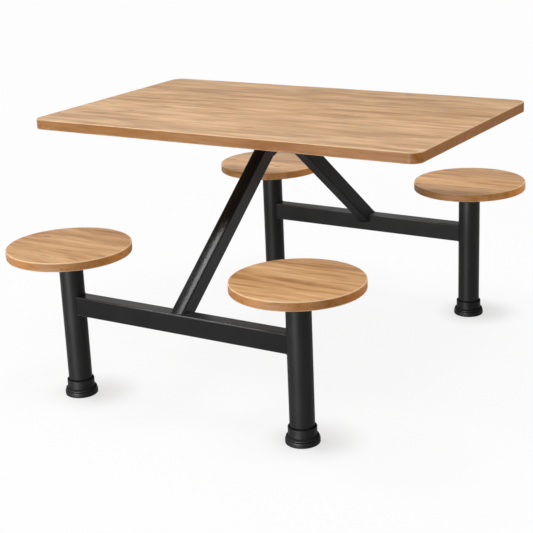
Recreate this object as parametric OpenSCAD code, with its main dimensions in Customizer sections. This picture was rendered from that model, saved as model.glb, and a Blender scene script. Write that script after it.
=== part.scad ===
// Canteen or picnic table with four disc stools on one welded steel frame.
// Millimetres, Z up. The origin is on the floor under the middle of the tabletop.
// X runs along the tabletop, and -Y is the front. The frame is symmetric front to rear and left to right.

/* [Tabletop] */
// Length of the tabletop, along X
top_l = 1240; // [1000:10:1800]
// Width of the tabletop, along Y
top_w = 740; // [600:10:900]
// Height of the tabletop's upper face above the floor
top_h = 750; // [700:5:800]
// Thickness of the tabletop
top_t = 30; // [25:1:40]
// Radius of the tabletop's corners, seen from above
top_corner_r = 32; // [12:1:80]
// Radius of the tabletop's upper and lower arrises
top_arris_r = 3; // [1:0.5:8]

/* [Stools] */
// Diameter of a seat disc
seat_d = 350; // [300:5:400]
// Height of a seat's upper face above the floor
seat_h = 446; // [400:1:500]
// Thickness of a seat disc
seat_t = 25; // [20:1:35]
// Radius of a seat's upper and lower arrises
seat_arris_r = 3; // [1:0.5:8]
// Distance between the two stools on one long side
stool_pitch = 736; // [600:2:900]
// Distance from the table's centre line to a stool's axis
stool_reach = 546; // [480:1:700]

/* [Posts] */
// Outer diameter of a stool post
post_d = 67; // [60:1:76]
// Wall of a stool post
post_wall = 2; // [1.5:0.5:3]

/* [Crossbars] */
// Width of a crossbar's tube, along Y
bar_w = 45; // [40:1:52]
// Height of a crossbar's tube
bar_h = 55; // [40:1:70]
// Wall of a crossbar's tube
bar_wall = 2; // [1.5:0.5:3]
// Outer corner radius of a crossbar's tube
bar_r = 4; // [3.5:0.5:6]
// Height of a crossbar's upper face above the floor
bar_top = 301; // [240:1:340]

/* [Braces] */
// Width of a brace's tube, along X
brace_w = 40; // [30:1:50]
// Depth of a brace's tube, square to its slope
brace_h = 48; // [40:1:60]
// Wall of a brace's tube
brace_wall = 2.5; // [1.5:0.5:4]
// Outer corner radius of a brace's tube
brace_r = 4.5; // [4.5:0.5:8]
// How far a brace's lower face reaches down the crossbar's inner face
brace_heel = 26; // [10:1:38]
// Gap between the two braces' lower ends under the apex plate
apex_gap = 6; // [2:1:20]

/* [Apex] */
// Thickness of the plate on top of the two braces
plate_t = 6; // [4:1:10]
// How far that plate reaches past the braces on each side
plate_margin = 12; // [6:1:25]
// Thickness of the bent plate welded under the inside of the apex
saddle_t = 5; // [3:1:8]
// Depth of that plate's lower face below the apex plate
saddle_drop = 41; // [32:1:55]
// Length of its level middle stretch, along Y
saddle_flat = 90; // [60:2:100]

/* [Top frame] */
// Length of the spine tube, along X
spine_l = 800; // [600:10:960]
// Width of the spine tube, along Y
spine_w = 60; // [40:5:80]
// Height of the spine tube
spine_h = 30; // [20:5:40]
// Wall of the spine tube
spine_wall = 2; // [1.5:0.5:3]
// Outer corner radius of the spine tube
spine_r = 4; // [3.5:0.5:6]
// Thickness of a spine plug's flange
plug_t = 3; // [2:0.5:5]
// How deep a spine plug goes into the tube
plug_depth = 14; // [8:1:30]
// Length of a cross arm, along Y
arm_l = 560; // [400:10:580]
// Width of a cross arm, along X
arm_w = 40; // [30:1:60]
// Thickness of a cross arm
arm_t = 6; // [5:1:8]
// Corner radius of a cross arm
arm_r = 8; // [2:1:14]

/* [Seat plates] */
// Diameter of the round steel plate on top of each post
flange_d = 130; // [120:2:160]
// Thickness of that plate
flange_t = 5; // [4:1:8]
// Diameter of the circle through its screw holes
flange_pcd = 102; // [98:1:104]

/* [Wood screws] */
// Outer diameter of a screw's shank
screw_d = 5; // [4:0.5:6]
// Diameter of a screw's countersunk head
screw_head_d = 9.6; // [9:0.1:12]
// Length of a screw in the tabletop
top_screw_l = 25; // [16:1:28]
// Length of a screw in a seat
seat_screw_l = 20; // [14:1:22]
// Number of screws along one cross arm
arm_screws = 4; // [2:1:6]
// Distance from a cross arm's end to its first screw
arm_screw_edge = 22; // [14:1:60]

/* [Feet] */
// Outer diameter of the cup that a post stands in
cup_d = 77; // [74:0.5:90]
// Height of the cup's rim above the floor
cup_top = 47; // [40:1:70]
// Thickness of the cup's floor
cup_floor = 8; // [5:1:12]
// Outer diameter of the cup's flared base
cup_base_d = 89; // [86:0.5:100]
// Height of the cup's flared base
cup_base_h = 6; // [4:0.5:8]
// Width of the open groove between the rim and the post
groove_w = 2.2; // [1:0.1:3]
// Depth of that groove
groove_depth = 6; // [3:0.5:9]
// Radius of the rim's outer edge
rim_r = 2; // [1:0.25:2.25]
// Diameter of the levelling pad
pad_d = 93; // [88:0.5:110]
// Thickness of the levelling pad
pad_h = 15.5; // [13:0.5:24]
// Radius of the pad's lower edge
pad_low_r = 3; // [1:0.5:4]
// Radius of the pad's upper edge
pad_high_r = 4.5; // [2:0.5:6]
// Diameter of the pad's neck, inside the dark seam
neck_d = 82; // [70:1:84]
// Height of that neck
neck_h = 1.5; // [1:0.5:3]

/* [Levelling stems] */
// Outer diameter of the threaded stem
stem_d = 10; // [8:1:12]
// Length of the stem above the pad's neck
stem_l = 46; // [40:1:60]
// Distance across the flats of the hexagon moulded into the pad
hex_af = 17; // [17:1:24]
// Height of that hexagon
hex_h = 6; // [5:0.5:8]
// Thickness of the pad's sole below the hexagon
sole_t = 4; // [3:0.5:5]
// Diameter of the threaded boss on the cup's floor
boss_d = 24; // [20:1:40]
// Height of that boss above the cup's floor
boss_h = 18; // [12:1:24]

/* [Clearances] */
// Gap between a coped tube end and the round post, filled by the weld
weld_gap = 0.2; // [0.1:0.05:0.4]
// Radial gap between a post and the cup's socket
socket_gap = 0.2; // [0.1:0.05:0.4]
// Radial gap between a levelling stem and its boss
thread_gap = 0.05; // [0.02:0.01:0.1]
// Gap round a screw in its hole in the wood
pilot_gap = 0.1; // [0.05:0.05:0.2]
// Radial gap round a screw's shank in a steel plate
plate_hole_gap = 0.25; // [0.1:0.05:0.5]
// Gap between a spine plug and the tube's inside
plug_gap = 0.25; // [0.1:0.05:0.5]

/* [Hidden] */

// Sides: -1 is the left or the front, and 1 is the right or the rear
LEFT = -1;
RIGHT = 1;
FRONT = -1;
REAR = 1;
SIDES = [-1, 1];

$fn = 96;
// Overlap that keeps a cutting body clear of the face it cuts through
cut = 1;
steel = "#2b2b2b";
plastic = "#202020";
zinc = "#b9bcc0";
oak = "#c49a6c";

// Stools
stool_x = stool_pitch / 2;
post_r = post_d / 2;
seat_under = seat_h - seat_t;
flange_z = seat_under - flange_t;

// The stack under the tabletop, from the wood down
top_under = top_h - top_t;
arm_z = top_under - arm_t;
spine_z = arm_z - spine_h;
plate_z = spine_z - plate_t;
arm_x = spine_l / 2 - arm_w / 2;

// A brace's lower face runs from the crossbar's inner face to the apex plate
bar_inner_y = stool_reach - bar_w / 2;
brace_low_z = bar_top - brace_heel;
brace_slope = (plate_z - brace_low_z) / (bar_inner_y - apex_gap / 2);
brace_a = atan(brace_slope);
brace_cut_y = apex_gap / 2 + brace_h / sin(brace_a);
brace_lap = bar_w - bar_r;
brace_run = (bar_inner_y + brace_h) / cos(brace_a);
brace_spare = 2 * brace_h;

// The bent plate inside the apex meets each brace at half the brace's slope
saddle_z = plate_z - saddle_drop;
bend_a = brace_a / 2;

// Feet, from the floor up
cup_z = pad_h + neck_h;
socket_z = cup_z + cup_floor;
groove_z = cup_top - groove_depth;
stem_top = cup_z + stem_l;

// Screws
head_h = (screw_head_d - screw_d) / 2;
tip_h = screw_d;
tip_d = screw_d / 5;
arm_screw_span = arm_l / 2 - arm_screw_edge;
arm_screw_gap = 2 * arm_screw_span / (arm_screws - 1);
arm_screw_y = [for (i = [0 : arm_screws - 1]) i * arm_screw_gap - arm_screw_span];
flange_screw_a = [45, 135, 225, 315];

// Height of a brace's lower face at a distance y from the table's centre line
function brace_low(y) = plate_z - (y - apex_gap / 2) * brace_slope;

// Where a line that falls from (y0, z0) at the bend's slope meets a brace's lower face
function bend_end(y0, z0) = (brace_low(0) - z0 - y0 * tan(bend_a)) / (brace_slope - tan(bend_a));

// Rectangle with true round corners
module rounded_rect(w, h, r) {
    square([w - 2 * r, h], center = true);
    square([w, h - 2 * r], center = true);
    for (x = SIDES, y = SIDES)
        translate([x * (w / 2 - r), y * (h / 2 - r)]) circle(r, $fn = 48);
}

// Section of a rectangular tube
module tube_section(w, h, r, wall) {
    difference() {
        rounded_rect(w, h, r);
        rounded_rect(w - 2 * wall, h - 2 * wall, r - wall);
    }
}

// Half section of a board's edge: square inside, with a round upper and lower arris outside
module edge_profile(reach, t, arris) {
    translate([0, arris]) square([reach, t - 2 * arris]);
    square([reach - arris, t]);
    for (z = [arris, t - arris])
        translate([reach - arris, z]) circle(arris, $fn = 32);
}

// Slab with round corners in plan and round arrises all the way round
module rounded_slab(l, w, t, corner, arris) {
    core_l = l - 2 * corner;
    core_w = w - 2 * corner;
    translate([-core_l / 2, -core_w / 2, 0]) cube([core_l, core_w, t]);
    for (side = [0, 1])
        rotate([0, 0, 180 * side]) {
            translate([core_l / 2, 0, 0]) rotate([90, 0, 0])
                linear_extrude(core_w, center = true) edge_profile(corner, t, arris);
            translate([0, core_w / 2, 0]) rotate([90, 0, 90])
                linear_extrude(core_l, center = true) edge_profile(corner, t, arris);
            translate([core_l / 2, core_w / 2, 0])
                rotate_extrude(angle = 90) edge_profile(corner, t, arris);
            translate([-core_l / 2, core_w / 2, 0]) rotate([0, 0, 90])
                rotate_extrude(angle = 90) edge_profile(corner, t, arris);
        }
}

// Round disc with round arrises
module rounded_disc(d, t, arris) {
    rotate_extrude(convexity = 4) edge_profile(d / 2, t, arris);
}

// Places a stool's pieces on its axis
module at_stool(side, row) {
    translate([side * stool_x, row * stool_reach, 0]) children();
}

// Places a seat's screws or their holes round the post
module at_flange_screws() {
    for (a = flange_screw_a)
        rotate([0, 0, a]) translate([flange_pcd / 2, 0, 0]) children();
}

// Places the tabletop's screws or their holes along one cross arm
module at_arm_screws(side) {
    for (y = arm_screw_y)
        translate([side * arm_x, y, 0]) children();
}

// Countersunk wood screw, driven upwards, with its head's face at z = 0
module wood_screw(length) {
    cylinder(d1 = screw_head_d, d2 = screw_d, h = head_h, $fn = 48);
    cylinder(d = screw_d, h = length - tip_h, $fn = 48);
    translate([0, 0, length - tip_h])
        cylinder(d1 = screw_d, d2 = tip_d, h = tip_h, $fn = 48);
}

// Hole for that screw through a steel plate: shank and countersink
module plate_hole(thickness) {
    translate([0, 0, -cut])
        cylinder(r = screw_d / 2 + plate_hole_gap, h = thickness + 2 * cut, $fn = 48);
    cylinder(r1 = screw_head_d / 2 + plate_hole_gap, r2 = screw_d / 2 + plate_hole_gap,
        h = head_h, $fn = 48);
}

// Blind hole for that screw in wood, from the wood's lower face up
module pilot_hole(depth) {
    translate([0, 0, -cut])
        cylinder(r = screw_d / 2 + pilot_gap, h = depth + cut + pilot_gap, $fn = 48);
}

module tabletop() {
    color(oak) difference() {
        translate([0, 0, top_under])
            rounded_slab(top_l, top_w, top_t, top_corner_r, top_arris_r);
        for (side = SIDES)
            translate([0, 0, top_under]) at_arm_screws(side) pilot_hole(top_screw_l - arm_t);
    }
}

module seat(side, row) {
    color(oak) at_stool(side, row) translate([0, 0, seat_under]) difference() {
        rounded_disc(seat_d, seat_t, seat_arris_r);
        at_flange_screws() pilot_hole(seat_screw_l - flange_t);
    }
}

module seat_plate(side, row) {
    color(steel) at_stool(side, row) translate([0, 0, flange_z]) difference() {
        cylinder(d = flange_d, h = flange_t);
        at_flange_screws() plate_hole(flange_t);
    }
}

module seat_screws() {
    color(zinc) for (side = SIDES, row = SIDES)
        at_stool(side, row) translate([0, 0, flange_z]) at_flange_screws() wood_screw(seat_screw_l);
}

module post(side, row) {
    color(steel) at_stool(side, row) translate([0, 0, socket_z]) difference() {
        cylinder(r = post_r, h = flange_z - socket_z);
        translate([0, 0, -cut])
            cylinder(r = post_r - post_wall, h = flange_z - socket_z + 2 * cut);
    }
}

// Rectangular tube between two posts, with each end coped to the round post
module crossbar(row) {
    color(steel) difference() {
        translate([0, row * stool_reach, bar_top - bar_h / 2]) rotate([90, 0, 90])
            linear_extrude(stool_pitch, center = true) tube_section(bar_w, bar_h, bar_r, bar_wall);
        for (side = SIDES)
            at_stool(side, row) cylinder(r = post_r + weld_gap, h = bar_top + cut);
    }
}

// Sloping tube, notched over the crossbar's inner top edge and cut level under the apex plate
module brace(row) {
    color(steel) rotate([0, 0, row == REAR ? 180 : 0]) difference() {
        translate([0, -bar_inner_y, brace_low_z]) rotate([brace_a, 0, 0])
            translate([0, -brace_spare, brace_h / 2]) rotate([-90, 0, 0])
                linear_extrude(brace_run + brace_spare)
                    tube_section(brace_w, brace_h, brace_r, brace_wall);
        translate([-brace_w, -2 * stool_reach - bar_inner_y, 0])
            cube([2 * brace_w, 2 * stool_reach, bar_top]);
        translate([-brace_w, -2 * stool_reach - bar_inner_y - brace_lap, 0])
            cube([2 * brace_w, 2 * stool_reach, top_h]);
        translate([-brace_w, -stool_reach, plate_z])
            cube([2 * brace_w, 2 * stool_reach, top_h]);
    }
}

module apex_plate() {
    plate_half = brace_cut_y + plate_margin;
    color(steel) translate([-brace_w / 2 - plate_margin, -plate_half, plate_z])
        cube([brace_w + 2 * plate_margin, 2 * plate_half, plate_t]);
}

// Bent plate that closes the inside of the apex between the two braces' lower faces
module apex_saddle() {
    low_y = saddle_flat / 2;
    high_y = low_y - saddle_t * tan(bend_a / 2);
    low_end = bend_end(low_y, saddle_z);
    high_end = bend_end(high_y, saddle_z + saddle_t);
    half = [
        [low_y, saddle_z],
        [low_end, brace_low(low_end)],
        [high_end, brace_low(high_end)],
        [high_y, saddle_z + saddle_t]
    ];
    color(steel) rotate([90, 0, 90]) linear_extrude(brace_w, center = true)
        polygon([
            half[0], half[1], half[2], half[3],
            [-half[3].x, half[3].y], [-half[2].x, half[2].y],
            [-half[1].x, half[1].y], [-half[0].x, half[0].y]
        ]);
}

module spine() {
    color(steel) translate([0, 0, spine_z + spine_h / 2]) rotate([90, 0, 90])
        linear_extrude(spine_l, center = true) tube_section(spine_w, spine_h, spine_r, spine_wall);
}

// Plug that closes one end of the spine
module spine_plug(side) {
    shrink = 2 * (spine_wall + plug_gap);
    color(plastic) rotate([0, 0, side == LEFT ? 180 : 0])
        translate([spine_l / 2, 0, spine_z + spine_h / 2]) rotate([90, 0, 90]) {
            linear_extrude(plug_t) rounded_rect(spine_w, spine_h, spine_r);
            translate([0, 0, -plug_depth]) linear_extrude(plug_depth + plug_t / 2)
                tube_section(spine_w - shrink, spine_h - shrink, spine_r - spine_wall, spine_wall / 2);
        }
}

// Flat bar across the spine that the tabletop is screwed to
module arm(side) {
    color(steel) translate([0, 0, arm_z]) difference() {
        translate([side * arm_x, 0, 0]) linear_extrude(arm_t) rounded_rect(arm_w, arm_l, arm_r);
        at_arm_screws(side) plate_hole(arm_t);
    }
}

module tabletop_screws() {
    color(zinc) for (side = SIDES)
        translate([0, 0, arm_z]) at_arm_screws(side) wood_screw(top_screw_l);
}

// Outer shape of a post's cup: flared base, straight wall and rounded rim
module cup_profile() {
    translate([0, cup_z]) square([cup_d / 2, cup_top - rim_r - cup_z]);
    translate([0, cup_z]) square([cup_d / 2 - rim_r, cup_top - cup_z]);
    translate([cup_d / 2 - rim_r, cup_top - rim_r]) circle(rim_r, $fn = 32);
    intersection() {
        translate([0, cup_z]) square([cup_base_d, cup_base_h]);
        translate([cup_base_d / 2 - cup_base_h, cup_z]) circle(cup_base_h, $fn = 48);
    }
    translate([0, cup_z]) square([cup_base_d / 2 - cup_base_h, cup_base_h]);
}

// Moulded cup under a post, with the threaded boss for the levelling stem inside
module cup(side, row) {
    color(plastic) at_stool(side, row) difference() {
        union() {
            difference() {
                rotate_extrude(convexity = 6) cup_profile();
                translate([0, 0, socket_z])
                    cylinder(r = post_r + socket_gap, h = cup_top);
                translate([0, 0, groove_z])
                    cylinder(r = post_r + groove_w, h = cup_top);
            }
            translate([0, 0, cup_z]) cylinder(d = boss_d, h = cup_floor + boss_h);
        }
        translate([0, 0, cup_z - cut])
            cylinder(r = stem_d / 2 + thread_gap, h = cup_floor + boss_h + 2 * cut, $fn = 48);
    }
}

// Threaded stem with the hexagon that turns with the pad
module stem(side, row) {
    color(zinc) at_stool(side, row) {
        translate([0, 0, sole_t]) cylinder(d = hex_af / cos(30), h = hex_h, $fn = 6);
        translate([0, 0, sole_t + hex_h / 2])
            cylinder(d = stem_d, h = stem_top - sole_t - hex_h / 2, $fn = 48);
    }
}

// Levelling pad: rounded ring, and the narrow neck that shows as a dark seam
module pad(side, row) {
    color(plastic) at_stool(side, row) difference() {
        rotate_extrude(convexity = 6) {
            square([pad_d / 2 - pad_high_r, pad_h]);
            translate([0, pad_low_r]) square([pad_d / 2, pad_h - pad_low_r - pad_high_r]);
            square([pad_d / 2 - pad_low_r, pad_low_r + cut]);
            translate([pad_d / 2 - pad_low_r, pad_low_r]) circle(pad_low_r, $fn = 32);
            translate([pad_d / 2 - pad_high_r, pad_h - pad_high_r]) circle(pad_high_r, $fn = 32);
            square([neck_d / 2, pad_h + neck_h]);
        }
        translate([0, 0, sole_t]) cylinder(d = hex_af / cos(30), h = hex_h, $fn = 6);
        translate([0, 0, sole_t + hex_h / 2])
            cylinder(d = stem_d, h = cup_z, $fn = 48);
    }
}

tabletop();
seat(LEFT, FRONT);  // seat_front_left
seat(RIGHT, FRONT);  // seat_front_right
seat(LEFT, REAR);  // seat_rear_left
seat(RIGHT, REAR);  // seat_rear_right
seat_plate(LEFT, FRONT);  // seat_plate_front_left
seat_plate(RIGHT, FRONT);  // seat_plate_front_right
seat_plate(LEFT, REAR);  // seat_plate_rear_left
seat_plate(RIGHT, REAR);  // seat_plate_rear_right
seat_screws();
post(LEFT, FRONT);  // post_front_left
post(RIGHT, FRONT);  // post_front_right
post(LEFT, REAR);  // post_rear_left
post(RIGHT, REAR);  // post_rear_right
crossbar(FRONT);  // crossbar_front
crossbar(REAR);  // crossbar_rear
brace(FRONT);  // brace_front
brace(REAR);  // brace_rear
apex_plate();
apex_saddle();
spine();
spine_plug(LEFT);  // spine_plug_left
spine_plug(RIGHT);  // spine_plug_right
arm(LEFT);  // arm_left
arm(RIGHT);  // arm_right
tabletop_screws();
cup(LEFT, FRONT);  // cup_front_left
cup(RIGHT, FRONT);  // cup_front_right
cup(LEFT, REAR);  // cup_rear_left
cup(RIGHT, REAR);  // cup_rear_right
pad(LEFT, FRONT);  // pad_front_left
pad(RIGHT, FRONT);  // pad_front_right
pad(LEFT, REAR);  // pad_rear_left
pad(RIGHT, REAR);  // pad_rear_right
stem(LEFT, FRONT);  // stem_front_left
stem(RIGHT, FRONT);  // stem_front_right
stem(LEFT, REAR);  // stem_rear_left
stem(RIGHT, REAR);  // stem_rear_right
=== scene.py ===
"""Canteen table with four attached disc stools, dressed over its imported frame.

Metres, Z up, with the origin on the floor under the middle of the tabletop. X runs along the
tabletop and -Y is the front. Every new piece takes its place from the CAD nodes' boxes.
"""
import math

import bmesh
import bpy
from mathutils import Matrix, Vector


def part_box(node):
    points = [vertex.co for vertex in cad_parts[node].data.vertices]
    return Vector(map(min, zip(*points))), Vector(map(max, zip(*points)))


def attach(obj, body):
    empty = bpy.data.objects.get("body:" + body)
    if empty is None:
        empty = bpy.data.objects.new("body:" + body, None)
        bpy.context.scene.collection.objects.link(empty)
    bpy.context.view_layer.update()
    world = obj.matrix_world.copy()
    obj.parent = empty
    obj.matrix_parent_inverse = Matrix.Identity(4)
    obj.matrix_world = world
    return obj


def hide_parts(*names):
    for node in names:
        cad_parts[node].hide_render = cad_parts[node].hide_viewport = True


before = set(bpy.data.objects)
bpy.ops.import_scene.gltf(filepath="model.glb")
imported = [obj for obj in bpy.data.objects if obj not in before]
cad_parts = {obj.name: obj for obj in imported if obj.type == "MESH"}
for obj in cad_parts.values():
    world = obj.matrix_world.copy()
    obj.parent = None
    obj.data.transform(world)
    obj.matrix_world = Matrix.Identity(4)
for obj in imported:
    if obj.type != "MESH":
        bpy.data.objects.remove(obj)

bl_info = {
    "name": "Canteen Table with Stools",
    "version": (1, 0, 0),
    "blender": (4, 5, 0),
    "location": "3D View > Sidebar > Table",
    "description": "Boards, steel frame, feet and studio for a table with four attached stools",
    "category": "Object",
}

MM = 0.001
# Two heights that differ by less are one, and so are two verts that lie closer together
LEVEL = 0.001 * MM
MERGE = 0.01 * MM
# Faces that meet at a wider angle than this have a sharp edge between them
SHARP = math.radians(35)
CORNERS = ("front_left", "front_right", "rear_left", "rear_right")
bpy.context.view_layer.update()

# Painted light and shade on each seat, for the tabletop's shade and the light each gets: how
# much paler its top is painted than plain seat wood, how much that grows towards its front in a
# metre, how much grey painted sheen is in it, and how much its rim is painted paler to the right
# in a metre
SEAT_PAINTED_LIGHT = {"front_left": (-0.02, 0.45, 0.0, 0.0), "front_right": (0.07, 0.5, 0.02, 0.0),
              "rear_left": (0.02, 3.2, 0.06, 3.4), "rear_right": (0.16, 1.8, 0.0, 3.4)}
# Painted highlights: how much paler a seat's rim is painted than plain edge wood, by angle
# from +X in degrees
RIM_PAINTED_LIGHT = ((-180, 0.16), (-125, 0.3), (-95, 0.5), (-80, 0.32), (-36, -0.08), (-22, 0.12),
             (-6, 0.5), (14, 0.72), (60, 0.3), (180, 0.16))

# The photo's view: where the camera stands, and its turn, downward tip and roll in degrees
CAMERA_PLACE = (1.9366, -3.18813, 1.45999)
CAMERA_TURN, CAMERA_TIP, CAMERA_ROLL = 32.11, 17.66, -2.40


def linear(colour):
    """An sRGB hex value as linear red, green and blue."""
    parts = [int(colour[i:i + 2], 16) / 255 for i in (1, 3, 5)]
    return [c / 12.92 if c <= 0.04045 else ((c + 0.055) / 1.055) ** 2.4 for c in parts]


class OakLook(bpy.types.PropertyGroup):
    """Colours and grain of the boards."""

    light: bpy.props.FloatVectorProperty(
        name="Light top", description="Colour of the tabletop's palest streaks",
        subtype="COLOR", min=0, max=1, default=linear("#e5b988"))
    middle: bpy.props.FloatVectorProperty(
        name="Middle top", description="Colour of most of the tabletop",
        subtype="COLOR", min=0, max=1, default=linear("#c69762"))
    dark: bpy.props.FloatVectorProperty(
        name="Dark top", description="Colour of the tabletop's darkest streaks",
        subtype="COLOR", min=0, max=1, default=linear("#a2713e"))
    seat_light: bpy.props.FloatVectorProperty(
        name="Light seat", description="Colour of the seats' palest streaks",
        subtype="COLOR", min=0, max=1, default=linear("#e4b684"))
    seat_middle: bpy.props.FloatVectorProperty(
        name="Middle seat", description="Colour of most of a seat",
        subtype="COLOR", min=0, max=1, default=linear("#cc9b66"))
    seat_dark: bpy.props.FloatVectorProperty(
        name="Dark seat", description="Colour of the seats' darkest streaks",
        subtype="COLOR", min=0, max=1, default=linear("#a36d37"))
    seat_shift: bpy.props.FloatVectorProperty(
        name="Seat figure", description="Where in the oak's figure the seats are cut",
        subtype="TRANSLATION", unit="LENGTH", default=(0.31, 0.17, 0.0))
    stave_length: bpy.props.FloatProperty(
        name="Stave length", description="Usual length of one stave",
        subtype="DISTANCE", unit="LENGTH", min=0.05, default=0.24)
    stave_width: bpy.props.FloatProperty(
        name="Stave width", description="Usual width of one stave",
        subtype="DISTANCE", unit="LENGTH", min=0.01, default=0.034)
    arris: bpy.props.FloatProperty(
        name="Arris", description="Radius of the boards' long edges",
        subtype="DISTANCE", unit="LENGTH", min=0.001, max=0.01, default=0.003)
    corner: bpy.props.FloatProperty(
        name="Corner", description="Radius of the tabletop's corners, seen from above",
        subtype="DISTANCE", unit="LENGTH", min=0.005, max=0.2, default=0.032)


class FrameLook(bpy.types.PropertyGroup):
    """Finish and small details of the steel frame and feet."""

    coat: bpy.props.FloatVectorProperty(
        name="Powder coat", description="Colour of the coated steel",
        subtype="COLOR", min=0, max=1, default=linear("#2b2b2b"))
    plastic: bpy.props.FloatVectorProperty(
        name="Plastic", description="Colour of the cups, pads and plugs",
        subtype="COLOR", min=0, max=1, default=linear("#151515"))
    zinc: bpy.props.FloatVectorProperty(
        name="Zinc", description="Colour of the plated screws and stems",
        subtype="COLOR", min=0, max=1, default=linear("#b4b7bb"))
    bead: bpy.props.FloatProperty(
        name="Weld bead", description="Width of the weld beads",
        subtype="DISTANCE", unit="LENGTH", min=0.001, max=0.01, default=0.004)
    ripple: bpy.props.FloatProperty(
        name="Weld ripple", description="Distance between two ripples of a weld bead",
        subtype="DISTANCE", unit="LENGTH", min=0.001, max=0.01, default=0.0025)
    thread: bpy.props.FloatProperty(
        name="Thread pitch", description="Pitch of the levelling stems' thread",
        subtype="DISTANCE", unit="LENGTH", min=0.0005, max=0.003, default=0.0015)


class StudioLook(bpy.types.PropertyGroup):
    """Camera and light."""

    lens: bpy.props.FloatProperty(
        name="Lens", description="Focal length on a 36 mm wide sensor, in millimetres",
        min=20, max=200, default=87.43)
    backdrop: bpy.props.FloatVectorProperty(
        name="Backdrop", description="Colour of the studio's floor and backdrop",
        subtype="COLOR", min=0, max=1, default=linear("#fdfdfd"))
    bounce: bpy.props.FloatVectorProperty(
        name="Bounce", description="Colour in which the floor lights matt pieces from below",
        subtype="COLOR", min=0, max=1, default=linear("#b0b0b0"))
    glow: bpy.props.FloatProperty(
        name="Glow", description="How much of the floor's white hides the shadows near the table",
        min=0, max=1, default=0.9)
    contact: bpy.props.FloatProperty(
        name="Contact", description="Share of that white that is left beside the feet",
        min=0, max=1, default=0.7)
    reflected: bpy.props.FloatProperty(
        name="Reflected glow", description="Share of that white that shiny pieces mirror",
        min=0, max=1, default=0.3)
    ceiling: bpy.props.FloatProperty(
        name="Ceiling", description="Brightness of the ceiling that shiny pieces mirror",
        min=0, max=1, default=0.05)
    ambient: bpy.props.FloatProperty(
        name="Ambient", description="Brightness of the room's even light", min=0, default=0.38)
    key: bpy.props.FloatProperty(
        name="Key", description="Power of the overhead softbox, in watts",
        min=0, default=94)
    side: bpy.props.FloatProperty(
        name="Side", description="Power of the low softbox at the front left, in watts",
        min=0, default=24)
    strip: bpy.props.FloatProperty(
        name="Strip", description="Power of the far softbox that only shiny pieces show, in watts",
        min=0, default=3000)
    gleam: bpy.props.FloatProperty(
        name="Gleam", description="Power that the overhead softbox adds to shiny pieces, in watts",
        min=0, default=330)
    top: bpy.props.FloatProperty(
        name="Top", description="Power of the broad overhead softbox, in watts",
        min=0, default=70)


def set_inputs(tree, node, inputs):
    """Sets a node's inputs. Each is a value, an output socket, or a node for its first output."""
    for name, value in inputs.items():
        if isinstance(value, bpy.types.Node):
            value = next(output for output in value.outputs if output.enabled)
        if isinstance(value, bpy.types.NodeSocket):
            tree.links.new(value, node.inputs[name])
        else:
            node.inputs[name].default_value = value


def add_node(tree, kind, inputs=None, **settings):
    """Adds a shader node with its settings and inputs."""
    made = tree.nodes.new(kind)
    for name, value in settings.items():
        setattr(made, name, value)
    set_inputs(tree, made, inputs or {})
    return made


def empty_tree(owner):
    """The node tree of a material or a world, emptied."""
    owner.use_nodes = True
    owner.node_tree.nodes.clear()
    return owner.node_tree


def new_material(name):
    """An empty material and its Principled shader, already linked to the output."""
    material = bpy.data.materials.new(name)
    tree = empty_tree(material)
    shader = add_node(tree, "ShaderNodeBsdfPrincipled")
    add_node(tree, "ShaderNodeOutputMaterial", {"Surface": shader})
    return material, tree, shader


def facing(tree):
    """The X, Y and Z of the way a surface faces."""
    way = add_node(tree, "ShaderNodeNewGeometry").outputs["Normal"]
    return add_node(tree, "ShaderNodeSeparateXYZ", {0: way}).outputs


def grain_figure(tree, kind, place, along, across, inputs, **settings):
    """A texture stretched along the grain until its features are along by across in size."""
    stretched = add_node(tree, "ShaderNodeMapping", {
        "Vector": place, "Scale": (1 / along, 1 / across, 1 / across)})
    return add_node(tree, kind, {"Vector": stretched, "Scale": 1.0, **inputs}, **settings)


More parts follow.
